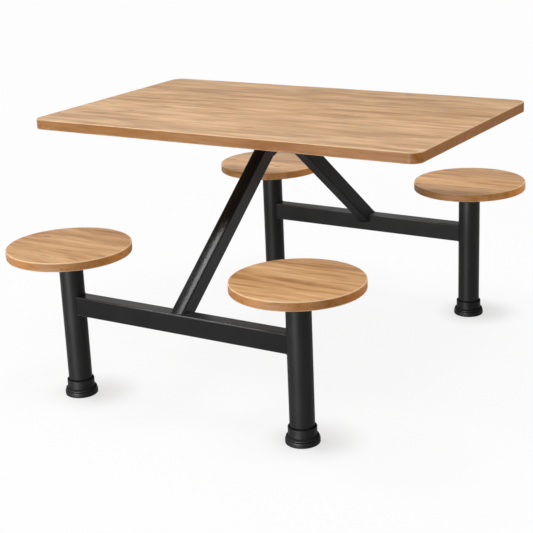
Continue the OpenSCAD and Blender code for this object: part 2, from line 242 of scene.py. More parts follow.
def oak(name, colours, dullness, from_board=(0, 0, 0), painted_front_sheen=0.0, painted_back_shade=0.0):
    """Solid oak staves, glued edge to edge, oiled and lacquered satin.

    To the eye it is warm tan with long soft streaks along X and short darker flecks. The
    lacquer lays a pale sheen over it at a low angle, and the end grain is browner than the rest.
    Tops are painted paler towards the front as painted sheen, and the back is painted darker as
    painted shade. Two attributes paint light, shade and sheen on single pieces.
    """
    look = bpy.context.scene.oak_look
    material, tree, shader = new_material(name)
    place = add_node(tree, "ShaderNodeTexCoord").outputs["Object"]
    figure_place = add_node(tree, "ShaderNodeVectorMath", {0: place, 1: tuple(from_board)})

    # The grain wanders sideways by a few millimetres over a quarter of a metre
    drift = grain_figure(tree, "ShaderNodeTexNoise", figure_place, 230 * MM, 60 * MM, {
        "Detail": 2.0, "Roughness": 0.5})
    centred = add_node(tree, "ShaderNodeVectorMath", {
        0: drift.outputs["Color"], 1: (0.5, 0.5, 0.5)}, operation="SUBTRACT")
    sway = add_node(tree, "ShaderNodeVectorMath", {
        0: centred, 1: (0.0, 30 * MM, 30 * MM)}, operation="MULTIPLY")
    wandered = add_node(tree, "ShaderNodeVectorMath", {0: figure_place, 1: sway})

    # Staves: soft-edged patches, each a little lighter or darker than its neighbours
    staves = grain_figure(
        tree, "ShaderNodeTexVoronoi", wandered, look.stave_length, look.stave_width,
        {"Smoothness": 0.3, "Randomness": 1.0}, feature="SMOOTH_F1")
    stave_tone = add_node(tree, "ShaderNodeSeparateColor", {"Color": staves.outputs["Color"]})
    tone = add_node(tree, "ShaderNodeMath", {
        0: stave_tone.outputs["Red"], 1: 0.45}, operation="MULTIPLY")

    # Figures of the grain, each as long and wide as given in millimetres, and its share in the
    # tone: patches in which the whole board is paler or darker, growth bands, streaks and fine
    # lines. Flecks and pores aren't in the tone but are laid over it. Pores are drawn a little
    # wider than real ones so that they show.
    figures = {}
    for figure, length, width, detail, rough, bend, share in (
            ("patches", 400, 130, 2.0, 0.5, 0.3, 1.2),
            ("bands", 260, 26, 2.0, 0.5, 0.3, 1.5),
            ("streaks", 150, 9, 3.0, 0.5, 0.0, 1.2),
            ("lines", 90, 2.2, 3.0, 0.6, 0.0, 0.5),
            ("flecks", 95, 8, 2.0, 0.5, 0.3, None),
            ("pores", 9, 0.8, 1.0, 0.5, 0.0, None)):
        drawn = grain_figure(tree, "ShaderNodeTexNoise", wandered, length * MM, width * MM, {
            "Detail": detail, "Roughness": rough, "Distortion": bend}).outputs["Fac"]
        if share:
            tone = add_node(tree, "ShaderNodeMath", {0: drawn, 1: share, 2: tone},
                            operation="MULTIPLY_ADD")
        figures[figure] = drawn
    level = add_node(tree, "ShaderNodeMapRange", {
        "Value": tone, "From Min": 1.87, "From Max": 2.97})
    wood = add_node(tree, "ShaderNodeValToRGB", {"Fac": level})
    light, middle, dark = colours
    wood.color_ramp.elements[0].color = (*dark, 1)
    wood.color_ramp.elements[1].color = (*light, 1)
    wood.color_ramp.elements.new(0.45).color = (*middle, 1)

    # Brown flecks and open pores, only where their noise stands high
    fleck = add_node(tree, "ShaderNodeMapRange", {
        "Value": figures["flecks"], "From Min": 0.6, "From Max": 0.78})
    fleck_part = add_node(tree, "ShaderNodeMath", {0: fleck, 1: 0.8}, operation="MULTIPLY")
    pore = add_node(tree, "ShaderNodeMapRange", {
        "Value": figures["pores"], "From Min": 0.62, "From Max": 0.72})
    pore_part = add_node(tree, "ShaderNodeMath", {0: pore, 1: 0.3}, operation="MULTIPLY")

    # A pin knot here and there, about 6 mm by 20 mm
    knots = grain_figure(tree, "ShaderNodeTexVoronoi", wandered, 260 * MM, 80 * MM, {
        "Randomness": 1.0})
    knot = add_node(tree, "ShaderNodeMapRange", {
        "Value": knots.outputs["Distance"], "From Min": 0.02, "From Max": 0.085,
        "To Min": 0.85, "To Max": 0.0})

    # Edges are browner than faces, and end grain, which drinks more oil, is browner still
    way = facing(tree)
    upward = add_node(tree, "ShaderNodeMath", {0: way["Z"]}, operation="ABSOLUTE")
    edge = add_node(tree, "ShaderNodeMapRange", {
        "Value": upward, "From Min": 0.5, "From Max": 0.1, "To Max": 0.5})
    endward = add_node(tree, "ShaderNodeMath", {0: way["X"]}, operation="ABSOLUTE")
    end_grain = add_node(tree, "ShaderNodeMapRange", {
        "Value": endward, "From Min": 0.7, "From Max": 1.0, "To Max": 0.25})
    browner = add_node(tree, "ShaderNodeMath", {0: edge, 1: end_grain})
    for mask, colour in ((fleck_part, "#8a6239"), (knot, "#7a4d28"),
                         (pore_part, "#80562f"), (browner, "#be7530")):
        wood = add_node(tree, "ShaderNodeMix", {
            0: mask, 6: wood, 7: (*linear(colour), 1)}, data_type="RGBA")

    # Painted light and shade: the tone attribute's painted tone for the piece, and painted shade
    # towards the back
    board = add_node(tree, "ShaderNodeAttribute", attribute_name="tone")
    painted_light_gain = add_node(tree, "ShaderNodeMath", {0: board.outputs["Fac"], 1: 1.0})
    depth = add_node(tree, "ShaderNodeSeparateXYZ", {0: place}).outputs["Y"]
    dim = add_node(tree, "ShaderNodeMapRange", {
        "Value": depth, "From Min": 0.0, "From Max": 0.3, "To Max": 1 - painted_back_shade,
        "To Min": 1.0})
    painted_light_gain = add_node(tree, "ShaderNodeMath", {0: painted_light_gain, 1: dim}, operation="MULTIPLY")
    wood = add_node(tree, "ShaderNodeVectorMath", {0: wood, "Scale": painted_light_gain}, operation="SCALE")

    # Painted sheen: paler towards the front on tops, and by the attribute elsewhere
    pale = add_node(tree, "ShaderNodeMapRange", {
        "Value": depth, "From Min": 0.05, "From Max": -0.3, "To Max": painted_front_sheen})
    top = add_node(tree, "ShaderNodeMapRange", {"Value": upward, "From Min": 0.5, "From Max": 0.9})
    pale = add_node(tree, "ShaderNodeMath", {0: pale, 1: top}, operation="MULTIPLY")
    painted_sheen = add_node(tree, "ShaderNodeAttribute", attribute_name="painted_sheen")
    pale = add_node(tree, "ShaderNodeMath", {0: pale, 1: painted_sheen.outputs["Fac"]})
    wood = add_node(tree, "ShaderNodeVectorMath", {0: wood, 1: pale})

    # Painted highlight: the arrises marked by the attribute are painted pale
    painted_arris_highlight = add_node(tree, "ShaderNodeAttribute", attribute_name="painted_arris_highlight")
    painted_highlight_part = add_node(tree, "ShaderNodeMath", {
        0: painted_arris_highlight.outputs["Fac"], 1: 0.65}, operation="MULTIPLY")
    wood = add_node(tree, "ShaderNodeMix", {
        0: painted_highlight_part, 6: wood, 7: (*linear("#fad6a8"), 1)}, data_type="RGBA")

    # Lacquer lies level, with the pores just open and fine streaks a little duller
    relief = add_node(tree, "ShaderNodeMath", {
        0: pore, 1: -1.0, 2: figures["lines"]}, operation="MULTIPLY_ADD")
    bump = add_node(tree, "ShaderNodeBump", {
        "Strength": 0.25, "Distance": 0.12 * MM, "Height": relief})
    rough = add_node(tree, "ShaderNodeMapRange", {
        "Value": figures["streaks"], "From Min": 0.3, "From Max": 0.7,
        "To Min": dullness - 0.05, "To Max": dullness + 0.05})
    set_inputs(tree, shader, {"Base Color": wood, "Roughness": rough, "Normal": bump,
                              "IOR": 1.5, "Specular IOR Level": 0.08})
    return material


def top_oak():
    """The tabletop's boards, painted paler towards the front as painted sheen, and darker at the
    back as painted shade.
    """
    look = bpy.context.scene.oak_look
    return oak("satin_lacquered_oak_top", (look.light, look.middle, look.dark), 0.38,
               painted_front_sheen=0.045, painted_back_shade=0.08)


def seat_oak():
    """The seats' lacquer is worn a little duller, and their figure is cut from other boards."""
    look = bpy.context.scene.oak_look
    return oak("satin_lacquered_oak_seats", (look.seat_light, look.seat_middle, look.seat_dark),
               0.40, from_board=look.seat_shift)


def powder_coat(name, rough=0.24, shine=0.08, painted_light_factor=1.0, crown=0.0, wear_and_highlight=0.0, seam=False):
    """Mild steel, blasted and powder coated satin black.

    To the eye it is a deep, slightly grey black with soft edges to its reflections, and a faint
    orange peel that breaks them up close by. With a crown, faces are rolled a little round across
    X, so a reflection lies along the middle of each face and not all over it, and the sides are
    painted a lighter grey as painted light. The coat's colour is scaled for painted light and
    shade.
    Long corners along X are painted paler as a painted highlight. Painted shade, matt black, fills
    the gap between a post and its cup, and stands 4 mm up the post.
    """
    material, tree, shader = new_material(name)
    place = add_node(tree, "ShaderNodeTexCoord").outputs["Object"]

    # Orange peel of 2.5 mm, and the powder's own grit of 0.6 mm
    peel = add_node(tree, "ShaderNodeTexNoise", {
        "Vector": place, "Scale": 1 / (2.5 * MM), "Detail": 2.0, "Roughness": 0.5})
    grit = add_node(tree, "ShaderNodeTexNoise", {
        "Vector": place, "Scale": 1 / (0.6 * MM), "Detail": 1.0})
    height = add_node(tree, "ShaderNodeMath", {
        0: grit.outputs["Fac"], 1: 0.2, 2: peel.outputs["Fac"]}, operation="MULTIPLY_ADD")
    bump = add_node(tree, "ShaderNodeBump", {
        "Strength": 0.25, "Distance": 0.015 * MM, "Height": height})

    # Thicker and thinner coat over 60 mm, and handling marks that polish it a little
    cloud = add_node(tree, "ShaderNodeTexNoise", {
        "Vector": place, "Scale": 1 / (60 * MM), "Detail": 3.0, "Roughness": 0.55})
    dull = add_node(tree, "ShaderNodeMapRange", {
        "Value": cloud.outputs["Fac"], "From Min": 0.3, "From Max": 0.7,
        "To Min": rough - 0.03, "To Max": rough + 0.03})
    # The coat's colour times a painted light factor: painted light above one, painted shade below
    coat = [c * painted_light_factor for c in bpy.context.scene.frame_look.coat]
    worn = [c * 1.25 for c in coat]
    tint = add_node(tree, "ShaderNodeMix", {
        0: cloud.outputs["Fac"], 6: (*coat, 1), 7: (*worn, 1)}, data_type="RGBA")

    layers = []
    if crown:
        # The crown's ridge lies 9 mm right of the middle of a face 40 mm wide
        across = add_node(tree, "ShaderNodeSeparateXYZ", {0: place}).outputs["X"]
        across = add_node(tree, "ShaderNodeMath", {0: across, 1: -9 * MM})
        squared = add_node(tree, "ShaderNodeMath", {0: across, 1: across}, operation="MULTIPLY")
        falling = add_node(tree, "ShaderNodeMath", {
            0: squared, 1: -crown / (20 * MM) ** 2}, operation="MULTIPLY")
        bump = add_node(tree, "ShaderNodeBump", {
            "Strength": 1.0, "Distance": 1.0, "Height": falling, "Normal": bump})
        # The reflection and the deep painted shade are on the faces, and the sides are painted a
        # lighter grey as painted light
        sideways = add_node(tree, "ShaderNodeMath", {0: facing(tree)["X"]}, operation="ABSOLUTE")
        side = add_node(tree, "ShaderNodeMapRange", {
            "Value": sideways, "From Min": 0.5, "From Max": 0.9})
        layers.append((side, "#333333"))
    if wear_and_highlight:
        # Painted highlight: long corners along X are painted a paler grey
        way = facing(tree)
        corner = add_node(tree, "ShaderNodeMath", {0: way["Y"], 1: way["Z"]}, operation="MULTIPLY")
        corner = add_node(tree, "ShaderNodeMath", {0: corner}, operation="ABSOLUTE")
        corner = add_node(tree, "ShaderNodeMapRange", {
            "Value": corner, "From Min": 0.2, "From Max": 0.45, "To Max": wear_and_highlight})
        layers.append((corner, "#686868"))
    if seam:
        # Painted shade: a matt black band on the post just above its cup
        height = add_node(tree, "ShaderNodeSeparateXYZ", {0: place}).outputs["Z"]
        painted_shade_band = add_node(tree, "ShaderNodeMapRange", {
            "Value": height, "From Min": 51.5 * MM, "From Max": 50.5 * MM})
        layers.append((painted_shade_band, "#000000"))
        dull = add_node(tree, "ShaderNodeMix", {0: painted_shade_band, 2: dull, 3: 1.0})
    for mask, colour in layers:
        tint = add_node(tree, "ShaderNodeMix", {
            0: mask, 6: tint, 7: (*linear(colour), 1)}, data_type="RGBA")
    set_inputs(tree, shader, {"Base Color": tint, "Roughness": dull, "Normal": bump,
                              "IOR": 1.5, "Specular IOR Level": shine})
    return material


def moulded_plastic():
    """Injection moulded polypropylene, black right through.

    To the eye it is a dark matt black with the fine spark-eroded grain of its mould, and a little
    grey where it has been rubbed.
    """
    material, tree, shader = new_material("moulded_black_polypropylene")
    place = add_node(tree, "ShaderNodeTexCoord").outputs["Object"]
    grain = add_node(tree, "ShaderNodeTexNoise", {
        "Vector": place, "Scale": 1 / (0.9 * MM), "Detail": 2.0, "Roughness": 0.6})
    bump = add_node(tree, "ShaderNodeBump", {
        "Strength": 0.4, "Distance": 0.05 * MM, "Height": grain.outputs["Fac"]})
    wear_and_highlight = add_node(tree, "ShaderNodeTexNoise", {
        "Vector": place, "Scale": 1 / (25 * MM), "Detail": 4.0, "Roughness": 0.6})
    rough = add_node(tree, "ShaderNodeMapRange", {
        "Value": wear_and_highlight.outputs["Fac"], "From Min": 0.3, "From Max": 0.7,
        "To Min": 0.42, "To Max": 0.55})

    # Painted shade: the cups' upward faces are painted black and matt
    height = add_node(tree, "ShaderNodeSeparateXYZ", {0: place}).outputs["Z"]
    on_cup = add_node(tree, "ShaderNodeMath", {0: height, 1: 18 * MM}, operation="GREATER_THAN")
    upward = add_node(tree, "ShaderNodeMapRange", {
        "Value": facing(tree)["Z"], "From Min": 0.2, "From Max": 0.5, "To Max": 0.85})
    painted_shade_ledge = add_node(tree, "ShaderNodeMath", {0: on_cup, 1: upward}, operation="MULTIPLY")
    tint = (*bpy.context.scene.frame_look.plastic, 1)
    for mask, colour in ((wear_and_highlight.outputs["Fac"], "#1d1d1c"), (painted_shade_ledge, "#000000")):
        tint = add_node(tree, "ShaderNodeMix", {
            0: mask, 6: tint, 7: (*linear(colour), 1)}, data_type="RGBA")
    rough = add_node(tree, "ShaderNodeMix", {0: painted_shade_ledge, 2: rough, 3: 1.0})
    set_inputs(tree, shader, {"Base Color": tint, "Roughness": rough, "Normal": bump,
                              "IOR": 1.49, "Specular IOR Level": 0.15})
    return material


def zinc_plate():
    """Steel, zinc plated bright and passivated clear.

    To the eye it is a pale bluish grey metal with small cloudy spangles and a soft shine.
    """
    material, tree, shader = new_material("zinc_plated_steel")
    place = add_node(tree, "ShaderNodeTexCoord").outputs["Object"]
    spangle = add_node(tree, "ShaderNodeTexVoronoi", {
        "Vector": place, "Scale": 1 / (1.8 * MM), "Randomness": 1.0})
    cloud = add_node(tree, "ShaderNodeSeparateColor", {"Color": spangle.outputs["Color"]})
    rough = add_node(tree, "ShaderNodeMapRange", {
        "Value": cloud.outputs["Red"], "To Min": 0.26, "To Max": 0.42})
    zinc = (*bpy.context.scene.frame_look.zinc, 1)
    tint = add_node(tree, "ShaderNodeMix", {
        0: cloud.outputs["Green"], 6: zinc, 7: (*linear("#9da1a6"), 1)}, data_type="RGBA")
    set_inputs(tree, shader, {"Base Color": tint, "Roughness": rough, "Metallic": 1.0})
    return material


MAKERS = {"top_oak": top_oak, "seat_oak": seat_oak, "plastic": moulded_plastic,
          "zinc": zinc_plate}
COATS = {
    "satin": {"name": "satin_black_powder_coat"},
    # The front brace is polished by knees, so it shines more, and its deeper tone is painted shade
    "polished": {"name": "polished_shaded_black_powder_coat", "shine": 0.15, "painted_light_factor": 0.38,
                 "crown": 2.5 * MM},
    # The rear brace is matt, and its lighter grey-black is painted light
    "matt": {"name": "matt_lit_black_powder_coat", "rough": 0.5, "shine": 0.035, "painted_light_factor": 1.6},
    # The posts' coat is rougher, so their reflections are broad and soft. Their slightly lighter
    # colour is painted light, and painted shade lies in a black band just above each cup
    "post": {"name": "soft_lit_black_powder_coat", "rough": 0.44, "painted_light_factor": 1.1, "seam": True},
    # The rear right post has been handled most, and shines a little more than the others. It is
    # painted lighter like them
    "handled_post": {"name": "handled_lit_black_powder_coat", "rough": 0.44, "shine": 0.12,
                     "painted_light_factor": 1.1, "seam": True},
    # The front bar's long corners are painted paler as a painted highlight
    "bar": {"name": "satin_black_powder_coat_painted_highlight", "wear_and_highlight": 0.85},
    # The rear bar is duller than the front one, its lighter colour is painted light, and its
    # corners carry as much painted highlight
    "rear_bar": {"name": "matt_lit_black_powder_coat_painted_highlight", "rough": 0.4, "painted_light_factor": 1.2,
                 "wear_and_highlight": 0.85},
}
MADE = {}


def finish_of(name):
    """The named finish, made once."""
    if name not in MADE:
        MADE[name] = powder_coat(**COATS[name]) if name in COATS else MAKERS[name]()
    return MADE[name]


def dress_nodes(finish, *nodes):
    """Gives CAD nodes a finish."""
    for name in nodes:
        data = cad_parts[name].data
        data.materials.clear()
        data.materials.append(finish_of(finish))


def new_object(name, data):
    """An object in the scene with the data given."""
    made = bpy.data.objects.new(name, data)
    bpy.context.scene.collection.objects.link(made)
    return made


def add_piece(name, shape, finish, body="frame", stands_for=()):
    """Makes a mesh object from a bmesh or mesh, and joins it to the frame."""
    if isinstance(shape, bmesh.types.BMesh):
        data = bpy.data.meshes.new(name)
        shape.to_mesh(data)
        shape.free()
    else:
        data = shape
    for face in data.polygons:
        face.use_smooth = True
    data.materials.clear()
    data.materials.append(finish_of(finish))
    piece = new_object(name, data)
    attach(piece, body)
    if stands_for:
        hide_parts(*stands_for)
    return piece


def round_rims(board, rims, radius, highlight_strength=1.0):
    """Rounds the rims, and marks the verts inside each rounding with a painted highlight of the
    given strength.
    """
    made = bmesh.ops.bevel(board, geom=rims, offset=radius, segments=6, profile=0.5,
                           affect="EDGES", material=-1)
    painted_arris_highlight = board.verts.layers.float.new("painted_arris_highlight")
    arris = set(made["faces"])
    for vert in {v for face in arris for v in face.verts}:
        vert[painted_arris_highlight] = highlight_strength if arris.issuperset(vert.link_faces) else 0.0


def level_faces(piece):
    """Keeps flat faces flat and rounds shaded smooth, with normals weighted by face area."""
    weighted = piece.modifiers.new("level_faces", "WEIGHTED_NORMAL")
    weighted.weight = 100
    weighted.keep_sharp = True


def centre_of(node):
    low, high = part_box(node)
    return (Vector(low) + Vector(high)) / 2


def size_of(node):
    low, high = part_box(node)
    return Vector(high) - Vector(low)


def bead_along(points, closed=False):
    """A rippled weld bead along a line of points, as a mesh."""
    look = bpy.context.scene.frame_look
    line = bpy.data.curves.new("weld_line", "CURVE")
    line.dimensions = "3D"
    line.bevel_depth = look.bead / 2
    line.bevel_resolution = 2
    line.use_fill_caps = True
    spline = line.splines.new("POLY")
    ends = points[1:] + points[:1] if closed else points[1:]
    steps = []
    for start, end in zip(points, ends):
        count = max(1, round((end - start).length / (look.ripple / 2)))
        steps.extend(start.lerp(end, i / count) for i in range(count))
    if not closed:
        steps.append(points[-1])
    spline.points.add(len(steps) - 1)
    for i, (point, place) in enumerate(zip(spline.points, steps)):
        point.co = (*place, 1)
        point.radius = 1.0 if i % 2 else 0.84
    spline.use_cyclic_u = closed
    rod = bpy.data.objects.new("weld_line", line)
    mesh = bpy.data.meshes.new_from_object(rod)
    bpy.data.objects.remove(rod)
    bpy.data.curves.remove(line)
    return mesh


def join_meshes(meshes):
    """One bmesh with all the meshes in it, each end cap merged with its bead."""
    whole = bmesh.new()
    for mesh in meshes:
        whole.from_mesh(mesh)
        bpy.data.meshes.remove(mesh)
    bmesh.ops.remove_doubles(whole, verts=whole.verts, dist=MERGE)
    bmesh.ops.recalc_face_normals(whole, faces=whole.faces)
    return whole


def ring(place, count, radius):
    """Points round a level ring."""
    return [place + Vector((radius * math.cos(math.tau * i / count),
                            radius * math.sin(math.tau * i / count), 0)) for i in range(count)]


def rim_painted_light(angle):
    """How much paler a seat's rim is painted at an angle, as painted highlight, read between the
    nearest two listed angles.
    """
    turn = math.degrees(angle)
    for (start, low), (end, high) in zip(RIM_PAINTED_LIGHT, RIM_PAINTED_LIGHT[1:]):
        if turn <= end:
            return low + (high - low) * (turn - start) / (end - start)
    return RIM_PAINTED_LIGHT[-1][1]


def stack_rings(shape, place, sections):
    """Bridges level rings from the first to the last, and caps both ends.

    A section is a height and a radius, which is a number or a function of the angle.
    """
    loops = []
    for height, radius in sections:
        made = bmesh.ops.create_circle(shape, segments=48, radius=1.0)
        for vert in made["verts"]:
            angle = math.atan2(vert.co.y, vert.co.x)
            reach = radius(angle) if callable(radius) else radius
            vert.co = place + Vector((reach * vert.co.x, reach * vert.co.y, height))
        loops.append(list(dict.fromkeys(e for vert in made["verts"] for e in vert.link_edges)))
    for low, high in zip(loops, loops[1:]):
        bmesh.ops.bridge_loops(shape, edges=low + high)
    bmesh.ops.edgeloop_fill(shape, edges=loops[0])
    bmesh.ops.edgeloop_fill(shape, edges=loops[-1])


class TABLE_OT_tabletop(bpy.types.Operator):
    """Makes the tabletop board, with round corners and arrises"""

    bl_idname = "table.tabletop"
    bl_label = "Tabletop"

    def execute(self, context):
        look = context.scene.oak_look
        board = bmesh.new()
        bmesh.ops.create_cube(board, size=1)
        bmesh.ops.scale(board, vec=size_of("tabletop"), verts=board.verts)
        bmesh.ops.translate(board, vec=centre_of("tabletop"), verts=board.verts)
        upright = [e for e in board.edges
                   if abs(e.verts[0].co.z - e.verts[1].co.z) > look.arris]
        bmesh.ops.bevel(board, geom=upright, offset=look.corner, segments=20, profile=0.5,
                        affect="EDGES", material=-1)
        low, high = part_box("tabletop")
        rims = [e for e in board.edges
                if any(all(abs(v.co.z - rim) < LEVEL for v in e.verts)
                       for rim in (low[2], high[2]))]
        round_rims(board, rims, look.arris)
        # Painted light: the board's edges are painted a little paler and greyer than plain edge
        # wood, most at the left, which the light reaches most
        tone = board.verts.layers.float.new("tone")
        painted_sheen = board.verts.layers.float.new("painted_sheen")
        for vert in board.verts:
            if vert.co.z < high[2] - look.arris / 2:
                vert[tone] = 0.1 - 0.03 * vert.co.x
                vert[painted_sheen] = 0.012 - 0.02 * vert.co.x
        piece = add_piece("tabletop_board", board, "top_oak", stands_for=("tabletop",))
        level_faces(piece)
        return {"FINISHED"}


class TABLE_OT_seats(bpy.types.Operator):
    """Makes the four round seats"""

    bl_idname = "table.seats"
    bl_label = "Seats"

    def execute(self, context):
        look = context.scene.oak_look
        for corner in CORNERS:
            node = f"seat_{corner}"
            size, middle = size_of(node), centre_of(node)
            disc = bmesh.new()
            bmesh.ops.create_cone(disc, cap_ends=True, segments=144, radius1=size.x / 2,
                                  radius2=size.x / 2, depth=size.z,
                                  matrix=Matrix.Translation(middle))
            rims = [e for e in disc.edges if abs(e.verts[0].co.z - e.verts[1].co.z) < LEVEL]
            # The seats' arrises get a stronger painted highlight
            round_rims(disc, rims, look.arris, highlight_strength=1.25)
            # Painted light and shade on the top and painted sheen, with painted highlights round
            # the rim
            paler, frontward, grey, rightward = SEAT_PAINTED_LIGHT[corner]
            tone = disc.verts.layers.float.new("tone")
            painted_sheen = disc.verts.layers.float.new("painted_sheen")
            for vert in disc.verts:
                away = vert.co - middle
                if away.z > size.z / 2 - MERGE:
                    vert[tone] = paler - frontward * away.y
                    vert[painted_sheen] = grey
                else:
                    vert[tone] = rim_painted_light(math.atan2(away.y, away.x)) + rightward * away.x
            piece = add_piece(f"seat_disc_{corner}", disc, "seat_oak", stands_for=(node,))
            level_faces(piece)
        return {"FINISHED"}


class TABLE_OT_steelwork(bpy.types.Operator):
    """Coats the tubes and plates"""

    bl_idname = "table.steelwork"
    bl_label = "Steelwork"

    def execute(self, context):
        plates = [f"seat_plate_{corner}" for corner in CORNERS]
        dress_nodes("satin", "apex_plate", "apex_saddle", "spine", "arm_left", "arm_right", *plates)
        dress_nodes("bar", "crossbar_front")
        dress_nodes("rear_bar", "crossbar_rear")
        dress_nodes("post", "post_front_left", "post_front_right", "post_rear_left")
        dress_nodes("handled_post", "post_rear_right")
        dress_nodes("polished", "brace_front")
        dress_nodes("matt", "brace_rear")
        return {"FINISHED"}


class TABLE_OT_welds(bpy.types.Operator):
    """Lays the weld beads of the frame"""

    bl_idname = "table.welds"
    bl_label = "Welds"

    def execute(self, context):
        stools, bars, apex, top = [], [], [], []
        for corner in CORNERS:
            post, plate = centre_of(f"post_{corner}"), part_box(f"seat_plate_{corner}")
            radius = size_of(f"post_{corner}").x / 2
            collar = Vector((post.x, post.y, plate[0][2]))
            stools.append(bead_along(ring(collar, 96, radius), closed=True))
            stools.append(bead_along(self.cope(corner, post, radius), closed=True))
        for row, side in (("front", -1), ("rear", 1)):
            bars.append(bead_along(self.brace_foot(row, side), closed=True))
            apex.append(bead_along(self.brace_head(row, side)))
            apex.append(bead_along(self.saddle_end(side)))
        for side in (-1, 1):
            top.append(bead_along(self.beside_spine("apex_plate", side, 1)))
            for arm in ("arm_left", "arm_right"):
                top.append(bead_along(self.beside_spine(arm, side, 0)))
        for name, beads in (("stool_welds", stools), ("brace_foot_welds", bars),
                            ("apex_welds", apex), ("spine_welds", top)):
            add_piece(name, join_meshes(beads), "satin")
        return {"FINISHED"}

    def cope(self, corner, post, radius):
        """The line on which a crossbar's end meets its post."""
        bar = f"crossbar_{corner.split('_')[0]}"
        centre, size = centre_of(bar), size_of(bar)
        side = -1 if post.x > 0 else 1
        round_off = 4 * MM
        outline = []
        for turn in range(4):
            for i in range(9):
                angle = math.pi / 2 * (turn + i / 8)
                across = (size.y / 2 - round_off) * (1 if turn in (0, 3) else -1)
                above = (size.z / 2 - round_off) * (1 if turn < 2 else -1)
                outline.append((across + round_off * math.cos(angle),
                                above + round_off * math.sin(angle)))
        return [Vector((post.x + side * math.sqrt(radius ** 2 - across ** 2),
                        centre.y + across, centre.z + above)) for across, above in outline]

    def brace_foot(self, row, side):
        """The line on which a brace meets its crossbar, over the top and down the inner face."""
        low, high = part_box(f"brace_{row}")
        bar_low, bar_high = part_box(f"crossbar_{row}")
        near = min(abs(bar_low[1]), abs(bar_high[1]))
        far = max(abs(low[1]), abs(high[1]))
        half, top, heel = high[0], bar_high[2], low[2]
        return [Vector((x, side * y, z)) for x, y, z in (
            (-half, far, top), (half, far, top), (half, near + MM, top), (half, near, top - MM),
            (half, near, heel), (-half, near, heel), (-half, near, top - MM),
            (-half, near + MM, top))]

    def brace_head(self, row, side):
        """The line on which a brace meets the apex plate from below."""
        low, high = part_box(f"brace_{row}")
        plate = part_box("apex_plate")
        half = high[0]
        far = plate[1][1] - (plate[1][0] - half)
        start = min(abs(low[1]), abs(high[1])) + 5 * MM
        return [Vector((x, side * y, plate[0][2])) for x, y in (
            (half, start), (half, far), (-half, far), (-half, start))]

    def saddle_end(self, side):
        """The line on which the bent plate inside the apex meets a brace."""
        low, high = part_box("apex_saddle")
        return [Vector((x, side * high[1], low[2])) for x in (low[0] + MM, high[0] - MM)]

    def beside_spine(self, node, side, face):
        """The line along the spine on a plate's lower or upper face."""
        box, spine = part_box(node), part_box("spine")
        return [Vector((x, side * spine[1][1], box[face][2]))
                for x in (box[0][0] + 2 * MM, box[1][0] - 2 * MM)]


class TABLE_OT_screws(bpy.types.Operator):
    """Makes the countersunk wood screws with their six-lobed recesses"""

    bl_idname = "table.screws"
    bl_label = "Screws"

    # Across the head and the shank, and the depth of the recess
    head = 9.6 * MM
    shank = 5 * MM
    recess = 1.8 * MM

    def execute(self, context):
        low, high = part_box("seat_screws")
        spread = high[0] - centre_of("post_front_right").x - self.head / 2
        stools = [centre_of(f"seat_plate_{corner}") for corner in CORNERS]
        places = [Vector((stool.x + x * spread, stool.y + y * spread, low[2]))
                  for stool in stools for x in (-1, 1) for y in (-1, 1)]
        self.make("seat_screw_set", "seat_screws", places, high[2] - low[2])
        low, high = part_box("tabletop_screws")
        far = high[1] - self.head / 2
        places = [Vector((side * centre_of("arm_right").x, far * share, low[2]))
                  for side in (-1, 1) for share in (-1, -1 / 3, 1 / 3, 1)]
        self.make("tabletop_screw_set", "tabletop_screws", places, high[2] - low[2])
        return {"FINISHED"}

    def lobes(self, angle):
        """The radius of the recess, which has six lobes."""
        return (1.75 + 0.3 * math.cos(6 * angle)) * MM

    def make(self, name, node, places, length):
        """Makes upright screws, each from its head at a place to its blunt point above."""
        shape = bmesh.new()
        sink = (self.head - self.shank) / 2
        for place in places:
            stack_rings(shape, place, (
                (self.recess, self.lobes), (0, self.lobes), (0, self.head / 2),
                (sink, self.shank / 2), (length - self.shank, self.shank / 2),
                (length, 0.5 * MM)))
        bmesh.ops.recalc_face_normals(shape, faces=shape.faces)
        piece = add_piece(name, shape, "zinc", stands_for=(node,))
        piece.data.set_sharp_from_angle(angle=SHARP)


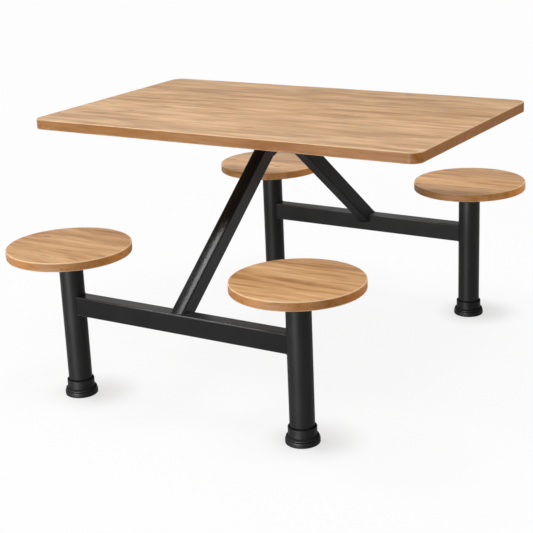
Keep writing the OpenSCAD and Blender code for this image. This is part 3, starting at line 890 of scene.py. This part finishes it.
class TABLE_OT_stems(bpy.types.Operator):
    """Cuts the thread on the levelling stems"""

    bl_idname = "table.stems"
    bl_label = "Threaded stems"

    # Radii of the thread's root and crest, steps in one turn of it, and height of the hexagon
    root, crest = 4.08 * MM, 5 * MM
    steps_a_turn = 24
    hexagon = 6 * MM

    def execute(self, context):
        pitch = context.scene.frame_look.thread
        for corner in CORNERS:
            self.make(f"stem_{corner}", corner, pitch)
        return {"FINISHED"}

    def make(self, node, corner, pitch):
        low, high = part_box(node)
        bottom, top, flats = low[2], high[2], size_of(node).y / 2
        place = centre_of(node)
        place.z = 0
        # The thread is one turn of its outline, wound up past both ends and cut off level
        shape = bmesh.new()
        start, turns = bottom + 2 * MM, math.ceil((top - bottom) / pitch) + 1
        outline = [shape.verts.new(place + Vector((radius, 0, start + pitch * share)))
                   for radius, share in ((self.root, 0), (self.crest, 0.5), (self.root, 1))]
        edges = [shape.edges.new(outline[:2]), shape.edges.new(outline[1:])]
        bmesh.ops.spin(shape, geom=outline + edges, cent=place, axis=(0, 0, 1),
                       dvec=(0, 0, pitch / self.steps_a_turn), angle=math.tau * turns,
                       steps=self.steps_a_turn * turns)
        bmesh.ops.remove_doubles(shape, verts=shape.verts, dist=MERGE)
        for height, way in ((start + 2 * pitch, -1), (top, 1)):
            whole = [*shape.verts, *shape.edges, *shape.faces]
            bmesh.ops.bisect_plane(shape, geom=whole, plane_co=(0, 0, height),
                                   plane_no=(0, 0, way), clear_outer=True)
            bmesh.ops.holes_fill(shape, edges=[
                e for e in shape.edges
                if e.is_boundary and all(abs(v.co.z - height) < LEVEL for v in e.verts)])
        bmesh.ops.create_cone(
            shape, cap_ends=True, segments=6, radius1=flats / math.cos(math.pi / 6),
            radius2=flats / math.cos(math.pi / 6), depth=self.hexagon,
            matrix=Matrix.Translation(place + Vector((0, 0, bottom + self.hexagon / 2)))
            @ Matrix.Rotation(math.pi / 6, 4, "Z"))
        bmesh.ops.recalc_face_normals(shape, faces=shape.faces)
        piece = add_piece(f"threaded_stem_{corner}", shape, "zinc", f"foot_{corner}",
                          stands_for=(node,))
        piece.data.set_sharp_from_angle(angle=SHARP)


class TABLE_OT_feet(bpy.types.Operator):
    """Finishes the cups, pads and plugs"""

    bl_idname = "table.feet"
    bl_label = "Feet"

    def execute(self, context):
        cups = [f"cup_{corner}" for corner in CORNERS]
        pads = [f"pad_{corner}" for corner in CORNERS]
        dress_nodes("plastic", "spine_plug_left", "spine_plug_right", *cups, *pads)
        return {"FINISHED"}


class TABLE_OT_studio(bpy.types.Operator):
    """Makes the floor, the light and the camera"""

    bl_idname = "table.studio"
    bl_label = "Studio"

    # How far from the middle the floor starts to fade into the backdrop, and is white
    near, far = 1.3, 3.2

    def execute(self, context):
        look = context.scene.studio_look
        self.make_floor(look)
        self.make_world(look)
        self.make_lights(look)
        self.make_camera(look)
        context.scene.view_settings.view_transform = "Standard"
        return {"FINISHED"}

    def make_floor(self, look):
        sheet = bmesh.new()
        bmesh.ops.create_grid(sheet, x_segments=1, y_segments=1, size=9)
        data = bpy.data.meshes.new("studio_floor")
        sheet.to_mesh(data)
        sheet.free()
        floor = new_object("studio_floor", data)
        material = bpy.data.materials.new("white_studio_paper")
        tree = empty_tree(material)
        # The camera and shiny pieces see white paper that fades into the backdrop. Matt pieces
        # get less light back from it, as from a floor that reaches only a few metres.
        camera, seen = self.seen_rays(tree)
        tone = add_node(tree, "ShaderNodeMix", {
            0: seen, 6: (*look.bounce, 1), 7: (*look.backdrop, 1)}, data_type="RGBA")
        paper = add_node(tree, "ShaderNodeBsdfDiffuse", {"Color": tone})
        place = add_node(tree, "ShaderNodeTexCoord").outputs["Object"]
        reach = add_node(tree, "ShaderNodeVectorMath", {0: place}, operation="LENGTH")
        fade = add_node(tree, "ShaderNodeMapRange", {
            "Value": reach, "From Min": self.near, "From Max": self.far,
            "To Min": look.glow, "To Max": 1.0}, interpolation_type="SMOOTHSTEP")
        shown = add_node(tree, "ShaderNodeMix", {0: camera, 2: look.reflected, 3: 1.0})
        shown = add_node(tree, "ShaderNodeMath", {0: seen, 1: shown}, operation="MULTIPLY")
        part = add_node(tree, "ShaderNodeMath", {0: shown, 1: fade}, operation="MULTIPLY")
        # Close to each foot the paper shows more of its own shading, mostly behind and to the right
        stool = centre_of("post_front_right")
        place = add_node(tree, "ShaderNodeVectorMath", {0: place, 1: (-0.025, -0.025, 0)})
        place = add_node(tree, "ShaderNodeVectorMath", {0: place}, operation="ABSOLUTE")
        away = add_node(tree, "ShaderNodeVectorMath", {
            0: place, 1: (stool.x, -stool.y, 0)}, operation="DISTANCE")
        beside = add_node(tree, "ShaderNodeMapRange", {
            "Value": away, "From Min": 0.04, "From Max": 0.16,
            "To Min": look.contact, "To Max": 1.0}, interpolation_type="SMOOTHSTEP")
        part = add_node(tree, "ShaderNodeMath", {0: part, 1: beside}, operation="MULTIPLY")
        strength = add_node(tree, "ShaderNodeMapRange", {
            "Value": reach, "From Min": self.near, "From Max": self.far,
            "To Min": 1.02, "To Max": 1.0})
        glow = add_node(tree, "ShaderNodeEmission", {
            "Color": (*look.backdrop, 1), "Strength": strength})
        mixed = add_node(tree, "ShaderNodeMixShader", {0: part, 1: paper, 2: glow})
        add_node(tree, "ShaderNodeOutputMaterial", {"Surface": mixed})
        data.materials.append(material)

    def make_world(self, look):
        world = bpy.data.worlds.new("white_studio")
        bpy.context.scene.world = world
        tree = empty_tree(world)
        camera, seen = self.seen_rays(tree)
        room = add_node(tree, "ShaderNodeBackground", {
            "Color": (1, 1, 1, 1), "Strength": look.ambient})
        # Shiny pieces mirror white walls and floor, and above them the dark ceiling of the studio
        way = add_node(tree, "ShaderNodeTexCoord").outputs["Generated"]
        height = add_node(tree, "ShaderNodeSeparateXYZ", {0: way}).outputs["Z"]
        ceiling = add_node(tree, "ShaderNodeMapRange", {
            "Value": height, "From Min": 0.45, "From Max": 0.75,
            "To Min": 1.0, "To Max": look.ceiling}, interpolation_type="SMOOTHSTEP")
        strength = add_node(tree, "ShaderNodeMix", {0: camera, 2: ceiling, 3: 1.0})
        white = add_node(tree, "ShaderNodeBackground", {
            "Color": (*look.backdrop, 1), "Strength": strength})
        mixed = add_node(tree, "ShaderNodeMixShader", {0: seen, 1: room, 2: white})
        add_node(tree, "ShaderNodeOutputWorld", {"Surface": mixed})

    def seen_rays(self, tree):
        """Masks of the camera's rays, and of these with the rays that shiny pieces mirror."""
        rays = add_node(tree, "ShaderNodeLightPath").outputs
        seen = rays["Is Camera Ray"]
        for kind in ("Is Glossy Ray", "Is Transmission Ray"):
            seen = add_node(tree, "ShaderNodeMath", {0: seen, 1: rays[kind]}, operation="MAXIMUM")
        return rays["Is Camera Ray"], seen

    def make_lights(self, look):
        # The key and its gleam hang over the left, square to the line that the front brace
        # mirrors to the camera. Only shiny pieces show the gleam and the strip.
        over_left, middle = (-2.78, -0.78, 5.17), (0, -0.3, 0.4)
        for name, power, size, place, target, lights_matt in (
                ("key", look.key, (1.6, 1.2), over_left, middle, True),
                ("gleam", look.gleam, (1.7, 1.4), over_left, middle, False),
                ("side", look.side, (0.8, 0.95), (-1.1, -3.7, 0.5), (0, -0.5, 0.3), True),
                ("strip", look.strip, (1.9, 2.4), (-0.5, -8.0, 0.9), (0, 0, 0.3), False),
                ("top", look.top, (2.2, 2.0), (1.1, -0.7, 4.8), (0.2, -0.2, 0.4), True)):
            lamp = bpy.data.lights.new(f"{name}_softbox", "AREA")
            lamp.shape = "RECTANGLE"
            lamp.size, lamp.size_y = size
            lamp.energy = power
            box = new_object(f"{name}_softbox", lamp)
            aim = (Vector(target) - Vector(place)).to_track_quat("-Z", "Y")
            box.matrix_world = Matrix.LocRotScale(Vector(place), aim, None)
            box.visible_camera = False
            box.visible_diffuse = lights_matt

    def make_camera(self, look):
        turn, tip, roll = (math.radians(angle) for angle in (CAMERA_TURN, CAMERA_TIP, CAMERA_ROLL))
        ahead = Vector((-math.sin(turn) * math.cos(tip), math.cos(turn) * math.cos(tip),
                        -math.sin(tip)))
        level = Vector((math.cos(turn), math.sin(turn), 0))
        above = level.cross(ahead)
        right = level * math.cos(roll) + above * math.sin(roll)
        up = above * math.cos(roll) - level * math.sin(roll)
        lens = bpy.data.cameras.new("photo_camera")
        lens.sensor_width = 36
        lens.lens = look.lens
        camera = new_object("photo_camera", lens)
        axes = Matrix((right, up, -ahead)).transposed().to_4x4()
        camera.matrix_world = Matrix.Translation(CAMERA_PLACE) @ axes
        bpy.context.scene.camera = camera


class TABLE_PT_panel(bpy.types.Panel):
    """Lists the steps and the sizes and colours that they read"""

    bl_label = "Canteen Table"
    bl_idname = "TABLE_PT_panel"
    bl_space_type = "VIEW_3D"
    bl_region_type = "UI"
    bl_category = "Table"

    def draw(self, context):
        layout = self.layout
        for settings in (context.scene.oak_look, context.scene.frame_look,
                         context.scene.studio_look):
            box = layout.box()
            for name in settings.bl_rna.properties.keys():
                if name not in ("rna_type", "name"):
                    box.prop(settings, name)
        for step in STEPS:
            layout.operator(step.bl_idname)


STEPS = (TABLE_OT_tabletop, TABLE_OT_seats, TABLE_OT_steelwork, TABLE_OT_welds, TABLE_OT_screws,
         TABLE_OT_stems, TABLE_OT_feet, TABLE_OT_studio)
CLASSES = (OakLook, FrameLook, StudioLook, *STEPS, TABLE_PT_panel)


def register():
    for kind in CLASSES:
        bpy.utils.register_class(kind)
    bpy.types.Scene.oak_look = bpy.props.PointerProperty(type=OakLook)
    bpy.types.Scene.frame_look = bpy.props.PointerProperty(type=FrameLook)
    bpy.types.Scene.studio_look = bpy.props.PointerProperty(type=StudioLook)


def unregister():
    del bpy.types.Scene.studio_look
    del bpy.types.Scene.frame_look
    del bpy.types.Scene.oak_look
    for kind in reversed(CLASSES):
        bpy.utils.unregister_class(kind)


def main():
    register()
    bpy.ops.table.tabletop()
    bpy.ops.table.seats()
    bpy.ops.table.steelwork()
    bpy.ops.table.welds()
    bpy.ops.table.screws()
    bpy.ops.table.stems()
    bpy.ops.table.feet()
    bpy.ops.table.studio()


if __name__ == "__main__":
    main()
